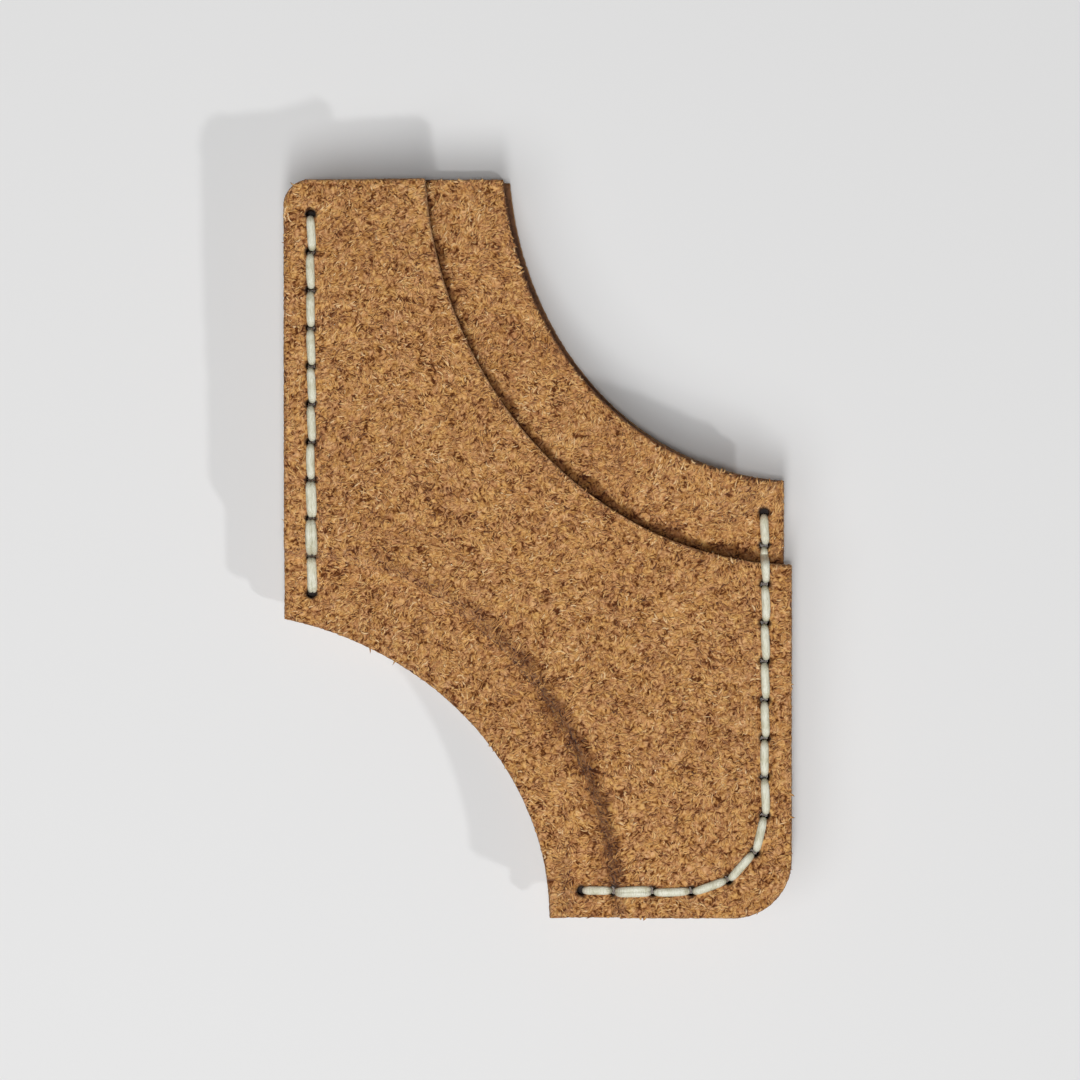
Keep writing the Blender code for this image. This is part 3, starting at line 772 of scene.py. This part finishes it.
def nap(name, count, outline, height, seed, part, finish, keep_out, creased):
    """Fibres all over a rough side. Few of them reach past a clean edge, and those in the crease are darkened
    with painted shade.
    """
    rng = np.random.default_rng(seed + 500 + part)
    roots = scatter(int(count * 1.12), outline, keep_out, rng)
    found = len(roots)
    angles = sweep(roots[:, 0], roots[:, 1], seed) + rng.normal(0.0, FIBRE_SPREAD, found)
    lengths = rng.gamma(4.0, FIBRE_LENGTH_STEP, found) + SHORTEST_FIBRE
    reach = FIBRE_REACH_SHARE * lengths[:, None] * np.stack([np.cos(angles), np.sin(angles)], axis=1)
    loose = np.zeros(found, bool)
    for ends in (roots + reach, roots - reach):
        loose |= ~is_inside(outline, ends[:, 0], ends[:, 1])
        loose |= keep_out(ends[:, 0], ends[:, 1])
    stray = rng.random(found) < STRAY_SHARE * fuzz(roots[:, 0], roots[:, 1])
    kept = np.flatnonzero(~loose | stray)[:count]
    roots, angles, lengths = roots[kept], angles[kept], lengths[kept]
    found = len(roots)
    x, y = roots.T
    widths = THINNEST_FIBRE + FIBRE_WIDTH_RANGE * rng.random(found) ** 1.3
    lifts = rng.uniform(LOWEST_FIBRE, HIGHEST_FIBRE, found)
    bends = rng.normal(0.0, 1.0, found)
    patches = noise(x, y, 0.0030, seed + 7) * 0.10 + noise(x, y, 0.0008, seed + 8) * 0.24
    if creased:
        # The fibres in the crease get the same painted shade.
        patches -= CREASE_FIBRE_PAINTED_SHADE * in_crease(x, y)
    shades = np.clip(rng.normal(MIDDLE_FIBRE_SHADE, FIBRE_SHADE_SPREAD, found) + patches, 0.0, 1.0)
    surface = layer_surface(height, seed)
    return fibre_mesh(name, roots, angles, lengths, widths, lifts, bends, shades, surface, finish)


def fuzz(x, y):
    """How ragged the nearest edge is, 0.5 or more. Worn stretches alternate with clean ones."""
    top_edge = 3.0 * ease((y - TOP + 0.0015) / 0.0010) * ease((x + 0.0105) / 0.0010)
    wear_and_painted_root_shade = 4.0 * ease((noise(x, y, 0.0050, 95) - 0.05) / 0.25)
    return 0.5 + top_edge + wear_and_painted_root_shade


# Thread.


def smooth_path(points, steps):
    """A Catmull-Rom curve through the points."""
    points = np.array(points)
    padded = np.concatenate([[2 * points[0] - points[1]], points, [2 * points[-1] - points[-2]]])
    path = []
    for a, b, c, d in zip(padded, padded[1:], padded[2:], padded[3:]):
        square = 2 * a - 5 * b + 4 * c - d
        cube = 3 * b - a - 3 * c + d
        for t in np.arange(steps) / steps:
            path.append(0.5 * (2 * b + (c - a) * t + square * t**2 + cube * t**3))
    path.append(points[-1])
    return np.array(path)


def strand(path, side, half_width, phase):
    """Vertices and faces of one stitch: a flattened bundle of filaments along the path."""
    tangents = np.gradient(path, axis=0)
    tangents /= np.linalg.norm(tangents, axis=1, keepdims=True)
    out = np.cross(side[None], tangents)
    out /= np.linalg.norm(out, axis=1, keepdims=True)
    turns = np.arange(ROUND_POINTS) * 2.0 * math.pi / ROUND_POINTS
    lengths = np.concatenate([[0.0], np.cumsum(np.linalg.norm(np.diff(path, axis=0), axis=1))])
    shares = lengths / lengths[-1]
    rings = []
    for centre, t_out, place, share in zip(path, out, lengths, shares):
        groove = np.abs(np.sin(FILAMENTS / 2 * (turns + phase + THREAD_TWIST * place)))
        ripple = 0.90 + FILAMENT_DEPTH * groove**0.7
        from_end = min(share, 1.0 - share)
        width = half_width * mix(END_WIDTH_SHARE, 1.0, ease(from_end / 0.40))
        height = THREAD_HALF_HEIGHT * mix(END_HEIGHT_SHARE, 1.0, ease(from_end / 0.25))
        across = width * np.cos(turns) * ripple
        rise = height * np.sin(turns) * ripple
        rings.append(centre + side[None] * across[:, None] + t_out[None] * rise[:, None])
    vertices = np.concatenate([*rings, path[:1], path[-1:]])
    faces = []
    last = len(path) - 1
    for k in range(ROUND_POINTS):
        after = (k + 1) % ROUND_POINTS
        for ring in range(last):
            a, b = ring * ROUND_POINTS + k, ring * ROUND_POINTS + after
            faces.append((a, b, b + ROUND_POINTS, a + ROUND_POINTS))
        faces.append((after, k, len(vertices) - 2))
        faces.append((last * ROUND_POINTS + k, last * ROUND_POINTS + after, len(vertices) - 1))
    return vertices, faces


def top_surface(x, y):
    """The highest leather at each point, pulled in along the seams."""
    heights = back_height(x, y)
    for outline, height in ((INNER_OUTLINE, inner_height), (OUTER_OUTLINE, outer_height)):
        heights = np.where(is_inside(outline, x, y), height(x, y), heights)
    return heights + LEATHER / 2 - dent(x, y)


def low_surface(x, y):
    """The lowest leather at each point, pulled in along the seams."""
    return back_height(x, y) - LEATHER / 2 + dent(x, y)


def stitch(first, second, above, shift, lean, bow, half_width, phase):
    """One stitch, out of one hole, over the leather or under it, and into the next."""
    start, end = first[:2], second[:2]
    length = math.dist(start, end)
    ahead = (end - start) / length
    side = np.array([-ahead[1], ahead[0]])
    away = 1.0 if above else -1.0
    leather = top_surface if above else low_surface
    # How far along the stitch each point of its path lies, and how far off the leather.
    stations = (
        (0.00030, -0.00100),
        (0.00031, -0.00045),
        (0.00036, -0.00012),
        (0.00058, 0.62 * THREAD_HALF_HEIGHT),
        (0.30 * length, 0.80 * THREAD_HALF_HEIGHT),
        (0.50 * length, 0.84 * THREAD_HALF_HEIGHT),
        (0.70 * length, 0.80 * THREAD_HALF_HEIGHT),
        (length - 0.00052, 0.66 * THREAD_HALF_HEIGHT),
        (length - 0.00030, -0.00010),
        (length - 0.00025, -0.00045),
        (length - 0.00024, -0.00100),
    )
    points = []
    for place, rise in stations:
        share = min(max(place / length, 0.0), 1.0)
        off = shift + lean * (share - 0.25) + bow * math.sin(math.pi * share)
        x, y = start + ahead * place + side * off
        near = np.array([place - 0.0003, place, place + 0.0003])
        spots = start[None] + ahead[None] * near[:, None] + side[None] * off
        heights = leather(spots[:, 0], spots[:, 1])
        base = heights.max() if above else heights.min()
        points.append((x, y, base + away * rise))
    path = smooth_path(points, 4)
    across = np.array([side[0], side[1], 0.0])
    return strand(path, across * away, half_width, phase)


def seam(name, holes, doubled, finish, seed):
    """All the stitches of one seam. Those in doubled, counted from the end, are sewn twice."""
    rng = np.random.default_rng(seed)
    vertices, faces = [], []
    count = 0
    for k, (first, second) in enumerate(zip(holes, holes[1:])):
        twice = len(holes) - 1 - k in doubled
        half_width = DOUBLED_HALF_WIDTH if twice else THREAD_HALF_WIDTH
        for above in (True, False):
            for shift in DOUBLED_SHIFTS if twice else (0.0,):
                lean = rng.uniform(LEAST_LEAN, MOST_LEAN) * (1.0 if above else -1.0)
                bow = rng.normal(0.0, STITCH_BOW)
                phase = rng.uniform(0.0, math.pi)
                points, sides = stitch(first, second, above, shift, lean, bow, half_width, phase)
                vertices.append(points)
                faces += [tuple(index + count for index in face) for face in sides]
                count += len(points)
    vertices = np.concatenate(vertices)
    piece = add_mesh(name, vertices, faces, [finish])
    x, y, z = vertices.T
    depth = np.minimum(top_surface(x, y) - z, z - low_surface(x, y))
    shade = np.ones((len(vertices), 4))
    # Painted shade on the thread where it sinks below the leather into the holes.
    tint(shade, SUNK_THREAD_PAINTED_SHADE, ease((depth - 0.00002) / SUNK_THREAD_DEPTH))
    add_painted_shade_and_tint(piece, shade)
    return piece


# Materials.


class Finish:
    """A material's node tree, with short ways to add and link nodes."""

    def __init__(self, name, roughness):
        self.material = bpy.data.materials.new(name)
        self.material.use_nodes = True
        self.tree = self.material.node_tree
        self.shader = self.tree.nodes["Principled BSDF"]
        self.shader.inputs["Roughness"].default_value = roughness
        self.shader.inputs["Metallic"].default_value = 0.0

    def add(self, kind, links=None, values=None, **settings):
        node = self.tree.nodes.new(kind)
        for key, value in settings.items():
            setattr(node, key, value)
        for key, value in (values or {}).items():
            node.inputs[key].default_value = value
        for key, source in (links or {}).items():
            self.tree.links.new(source, node.inputs[key])
        return node

    def place(self):
        return self.add("ShaderNodeTexCoord").outputs["Object"]

    def stretched(self, where, angle, sizes):
        turned = self.add(
            "ShaderNodeMapping",
            {"Vector": where},
            {"Rotation": (0.0, 0.0, math.radians(angle)), "Scale": sizes},
            vector_type="TEXTURE",
        )
        return turned.outputs["Vector"]

    def noise(self, where, detail):
        settings = {"Scale": 1.0, "Detail": detail, "Roughness": 0.55}
        return self.add("ShaderNodeTexNoise", {"Vector": where}, settings).outputs["Fac"]

    def lumps(self, where, size, detail):
        """Noise whose lumps are about as wide as size."""
        return self.noise(self.stretched(where, 0.0, (size, size, size)), detail)

    def maths(self, operation, first, second):
        made = self.add("ShaderNodeMath", operation=operation)
        for socket, value in zip(made.inputs, (first, second)):
            if isinstance(value, (int, float)):
                socket.default_value = value
            else:
                self.tree.links.new(value, socket)
        return made.outputs["Value"]

    def ramp(self, factor, stops):
        made = self.add("ShaderNodeValToRGB", {"Fac": factor})
        elements = made.color_ramp.elements
        while len(elements) < len(stops):
            elements.new(0.5)
        for element, (place, colour) in zip(elements, stops):
            element.position = place
            element.color = (*colour, 1.0)
        return made.outputs["Color"]

    def multiply(self, first, second):
        made = self.add("ShaderNodeMix", data_type="RGBA", blend_type="MULTIPLY")
        factor, first_colour, second_colour = made.inputs[0], made.inputs[6], made.inputs[7]
        factor.default_value = 1.0
        self.tree.links.new(first, first_colour)
        self.tree.links.new(second, second_colour)
        return made.outputs[2]

    def total(self, *values):
        result = values[0]
        for value in values[1:]:
            result = self.maths("ADD", result, value)
        return result

    def bump(self, height, distance, strength=1.0):
        made = self.add("ShaderNodeBump", {"Height": height}, {"Distance": distance, "Strength": strength})
        self.tree.links.new(made.outputs["Normal"], self.shader.inputs["Normal"])

    def colour(self, source):
        self.tree.links.new(source, self.shader.inputs["Base Color"])

    def with_painted_shade_and_tint(self, source):
        """Sets the colour, multiplied by the painted shade and tint that the piece's vertices carry."""
        shade = self.add("ShaderNodeAttribute", attribute_name="painted_shade_and_tint").outputs["Color"]
        self.colour(self.multiply(source, shade))


def bent_place(finish, where, reach, size):
    """The place moved about by a slow noise, so that nothing laid on it runs straight."""
    lumps = finish.stretched(where, 0.0, (size, size, size))
    bent = finish.add("ShaderNodeTexNoise", {"Vector": lumps}, {"Scale": 1.0, "Detail": 2.0})
    shift = finish.add(
        "ShaderNodeVectorMath", {0: bent.outputs["Color"]}, {1: (0.5, 0.5, 0.5)}, operation="SUBTRACT"
    )
    moved = finish.add(
        "ShaderNodeVectorMath",
        {0: shift.outputs["Vector"], 2: where},
        {1: (reach, reach, reach)},
        operation="MULTIPLY_ADD",
    )
    return moved.outputs["Vector"]


def tufts(finish, where, angle, sizes):
    """The height of flat tufts lying one way, each a dome with a height of its own, from 0 to 1."""
    lined = finish.stretched(where, angle, sizes)
    cells = finish.add("ShaderNodeTexVoronoi", {"Vector": lined}, {"Scale": 1.0}, feature="F1")
    edges = finish.add(
        "ShaderNodeTexVoronoi", {"Vector": lined}, {"Scale": 1.0}, feature="DISTANCE_TO_EDGE"
    )
    dome = finish.add("ShaderNodeMapRange", {"Value": edges.outputs["Distance"]}, {"From Max": 0.52})
    dome.interpolation_type = "SMOOTHSTEP"
    chance = finish.add("ShaderNodeSeparateXYZ", {"Vector": cells.outputs["Color"]}).outputs["X"]
    tall = finish.maths("ADD", finish.maths("MULTIPLY", chance, 0.62), 0.38)
    return finish.maths("MULTIPLY", tall, dome.outputs["Result"])


TUFT_LAYERS = (
    (-55.0, (0.00062, 0.00028, 0.00050)),
    (10.0, (0.00054, 0.00025, 0.00050)),
    (70.0, (0.00058, 0.00030, 0.00050)),
)
SUEDE_STOPS = [
    (0.26, (0.100, 0.030, 0.007)),
    (0.31, (0.195, 0.074, 0.022)),
    (0.37, (0.350, 0.160, 0.055)),
    (0.44, (0.490, 0.245, 0.090)),
    (0.54, (0.630, 0.345, 0.135)),
    (0.70, (0.760, 0.460, 0.200)),
]
BROAD_STOPS = [(0.35, (0.92, 0.89, 0.90)), (0.65, (1.0, 1.0, 0.96))]
HUE_STOPS = [(0.38, (1.04, 1.01, 0.84)), (0.62, (1.01, 0.96, 1.06))]


def suede(name):
    """The rough side: flat tan tufts lying every way, with dark pits between them. The colour follows the
    bump's height, so the pits and the tufts' rims are partly the leather's own darker colour and partly
    painted shade.
    """
    finish = Finish(name, 0.95)
    where = finish.place()
    moved = bent_place(finish, where, 0.0009, 0.0008)
    layers = [tufts(finish, moved, angle, sizes) for angle, sizes in TUFT_LAYERS]
    highest = finish.maths("MAXIMUM", finish.maths("MAXIMUM", layers[0], layers[1]), layers[2])
    fine = finish.noise(finish.stretched(moved, 35.0, (0.00026, 0.00009, 0.00020)), 3.0)
    clumps = finish.lumps(where, 0.0010, 2.0)
    hollows = finish.noise(finish.stretched(moved, 0.0, (0.00050, 0.00040, 0.00040)), 1.0)
    value = finish.total(
        finish.maths("MULTIPLY", highest, 0.54),
        finish.maths("MULTIPLY", fine, 0.34),
        finish.maths("MULTIPLY", finish.maths("SUBTRACT", clumps, 0.18), 0.42),
        finish.maths("MULTIPLY", finish.maths("SUBTRACT", hollows, 0.50), 0.46),
    )
    # Low places in the height get the dark stops: partly the leather's own colour, partly painted shade.
    colour = finish.ramp(value, SUEDE_STOPS)
    broad = finish.ramp(finish.lumps(where, 0.004, 3.0), BROAD_STOPS)
    hue = finish.ramp(finish.lumps(where, 0.0007, 2.0), HUE_STOPS)
    finish.with_painted_shade_and_tint(finish.multiply(finish.multiply(colour, broad), hue))
    finish.bump(value, 0.00020)
    finish.shader.inputs["Sheen Weight"].default_value = 0.10
    finish.shader.inputs["Sheen Roughness"].default_value = 0.5
    finish.shader.inputs["Specular IOR Level"].default_value = 0.12
    return finish.material


def grain(name):
    """The smooth side: brown, with fine creases and pores."""
    finish = Finish(name, 0.62)
    where = finish.place()
    creases = finish.add(
        "ShaderNodeTexVoronoi",
        {"Vector": finish.stretched(where, 0.0, (0.00055, 0.00055, 0.00055))},
        {"Scale": 1.0},
        feature="DISTANCE_TO_EDGE",
    ).outputs["Distance"]
    soft = finish.lumps(where, 0.0030, 4.0)
    colour = finish.ramp(soft, [(0.35, (0.150, 0.062, 0.026)), (0.65, (0.260, 0.115, 0.048))])
    dark = finish.ramp(creases, [(0.0, (0.62, 0.58, 0.55)), (0.12, (1.0, 1.0, 1.0))])
    finish.with_painted_shade_and_tint(finish.multiply(colour, dark))
    finish.bump(creases, 0.00003, 0.6)
    finish.shader.inputs["Specular IOR Level"].default_value = 0.35
    return finish.material


def cut_edge(name):
    """The cut edge: packed fibres, in paler and darker streaks along it."""
    finish = Finish(name, 0.9)
    where = finish.place()
    streak = finish.noise(finish.stretched(where, 0.0, (0.0004, 0.0004, 0.00012)), 3.0)
    finish.with_painted_shade_and_tint(finish.ramp(streak, [(0.35, (0.200, 0.088, 0.034)), (0.62, (0.520, 0.290, 0.130))]))
    finish.bump(streak, 0.00008, 0.8)
    finish.shader.inputs["Specular IOR Level"].default_value = 0.15
    return finish.material


FIBRE_STOPS = [
    (0.00, (0.140, 0.045, 0.011)),
    (0.25, (0.350, 0.150, 0.050)),
    (0.50, (0.545, 0.275, 0.093)),
    (0.78, (0.710, 0.420, 0.155)),
    (1.00, (0.810, 0.550, 0.290)),
]
FIBRE_END_PAINTED_SHADE_STOPS = [
    (0.00, (0.62, 0.55, 0.50)),
    (0.30, (1.0, 1.0, 1.0)),
    (0.85, (1.06, 1.06, 1.04)),
    (1.00, (0.9, 0.86, 0.8)),
]


def fibre_finish(name):
    """Loose fibres: each takes its shade from its map, with painted shade toward its root."""
    finish = Finish(name, 0.85)
    spots = finish.add("ShaderNodeUVMap", uv_map="OFBake").outputs["UV"]
    parts = finish.add("ShaderNodeSeparateXYZ", {"Vector": spots})
    colour = finish.ramp(parts.outputs["X"], FIBRE_STOPS)
    # Painted shade toward each fibre's root, and a little at its tip.
    wear_and_painted_root_shade = finish.ramp(parts.outputs["Y"], FIBRE_END_PAINTED_SHADE_STOPS)
    finish.colour(finish.multiply(colour, wear_and_painted_root_shade))
    finish.shader.inputs["Sheen Weight"].default_value = 0.10
    finish.shader.inputs["Specular IOR Level"].default_value = 0.25
    return finish.material


def waxed_thread(name):
    """Waxed thread: pale, faintly green, with fine lines along it and a few stains."""
    finish = Finish(name, 0.42)
    where = finish.place()
    stains = finish.lumps(where, 0.0009, 4.0)
    wax = [(0.25, (0.540, 0.510, 0.350)), (0.48, (0.740, 0.725, 0.580)), (0.72, (0.840, 0.830, 0.710))]
    lines = finish.noise(finish.stretched(where, 0.0, (0.00007, 0.00060, 0.00007)), 2.0)
    dark = finish.ramp(lines, [(0.34, (0.76, 0.75, 0.68)), (0.54, (1.0, 1.0, 1.0))])
    finish.with_painted_shade_and_tint(finish.multiply(finish.ramp(stains, wax), dark))
    finish.bump(lines, 0.00004, 0.7)
    finish.shader.inputs["Specular IOR Level"].default_value = 0.45
    return finish.material


# The sleeve.


def make_sheets():
    smooth_side = grain("smooth_side")
    edge = cut_edge("cut_edge")
    plans = (
        (LOW_SHEET, "back_panel", "back_suede", BACK_OUTLINE, back_height, LOW_SEED),
        (SECOND_SHEET, "inner_front_flap", "inner_suede", INNER_OUTLINE, inner_height, SECOND_SEED),
        (TOP_SHEET, "outer_front_flap", "outer_suede", OUTER_OUTLINE, outer_height, TOP_SEED),
    )
    for name, node, slot, outline, height, seed in plans:
        materials = [suede(slot), smooth_side, edge]
        sheet = leather_sheet(name, outline, height, name != LOW_SHEET, materials, seed)
        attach(sheet, "root")
        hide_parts(node)


def make_nap():
    """The fibres. Those of the outer flap are in two pieces, so that neither has too many triangles."""
    fibres = fibre_finish("nap_fibres")

    def covered(x, y):
        return near_thread(x, y) | (outside(OUTER_MOUTH, x, y) > fold_edge(x, y))

    outer = (OUTER_FIBRES, OUTER_OUTLINE, outer_height, TOP_SEED, "outer_suede", near_thread, True)
    inner = (INNER_FIBRES, INNER_OUTLINE, inner_height, SECOND_SEED, "inner_suede", covered, False)
    plans = (("nap_outer_flap_1", *outer), ("nap_outer_flap_2", *outer), ("nap_inner_flap", *inner))
    for part, (name, count, outline, height, seed, slot, keep_out, creased) in enumerate(plans):
        piece = nap(name, count, outline, height, seed, part, fibres, keep_out, creased)
        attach(piece, "root")


def make_threads():
    finish = waxed_thread("waxed_thread")
    for name, node, holes, doubled, seed in (
        ("thread_left_seam", "left_seam_thread", LEFT_HOLES, (1, 2, 3), 41),
        ("thread_right_seam", "right_seam_thread", RIGHT_HOLES, (2,), 42),
    ):
        piece = seam(name, holes, doubled, finish, seed)
        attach(piece, "root")
        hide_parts(node)


def aim(lamp, toward):
    """Turns a lamp so that it shines from that direction."""
    lamp.rotation_euler = Vector(toward).to_track_quat("Z", "Y").to_euler()


def add_sun(name, toward, energy, width):
    """A sun whose disc is width degrees wide."""
    lamp = bpy.data.lights.new(name, "SUN")
    lamp.energy = energy
    lamp.angle = math.radians(width)
    sun = bpy.data.objects.new(name, lamp)
    aim(sun, toward)
    bpy.context.scene.collection.objects.link(sun)


def add_soft_box(name, place, width, height, energy):
    """A rectangular lamp that faces the sleeve."""
    lamp = bpy.data.lights.new(name, "AREA")
    lamp.shape = "RECTANGLE"
    lamp.size = width
    lamp.size_y = height
    lamp.energy = energy
    box = bpy.data.objects.new(name, lamp)
    box.location = place
    aim(box, place)
    bpy.context.scene.collection.objects.link(box)


def make_light():
    """A small key from the lower right, light from overhead, and two soft boxes from below and the left."""
    key_rise = math.tan(math.radians(39.4))
    add_sun("key", toward=(0.776, -0.631, key_rise), energy=0.63, width=3.2)
    add_sun("overhead", toward=(-0.03, -0.05, 1.0), energy=0.74, width=5.0)
    add_soft_box("strip", place=(-0.01, -0.15, 0.50), width=0.07, height=0.28, energy=1.00)
    add_soft_box("side", place=(-0.19, -0.18, 0.50), width=0.36, height=0.34, energy=0.76)
    world = bpy.data.worlds.new("studio")
    world.use_nodes = True
    background = world.node_tree.nodes["Background"].inputs
    background["Color"].default_value = (1.0, 1.0, 1.0, 1.0)
    background["Strength"].default_value = 0.05
    bpy.context.scene.world = world


def make_floor():
    finish = Finish("floor", 0.7)
    finish.shader.inputs["Base Color"].default_value = (0.80, 0.80, 0.80, 1.0)
    vertices = np.array([(-1.0, -1.0, 0.0), (1.0, -1.0, 0.0), (1.0, 1.0, 0.0), (-1.0, 1.0, 0.0)])
    floor = add_mesh("floor", vertices, [(0, 1, 2, 3)], [finish.material])


def make_camera():
    lens = bpy.data.cameras.new("camera")
    lens.sensor_width = 36.0
    lens.lens = 248.0
    lens.clip_start = 0.01
    camera = bpy.data.objects.new("camera", lens)
    camera.location = (0.00018, 0.00072, 0.6)
    bpy.context.scene.collection.objects.link(camera)
    bpy.context.scene.camera = camera


make_camera()
make_floor()
make_light()
make_sheets()
make_nap()
make_threads()
bpy.context.scene.view_settings.view_transform = "Standard"
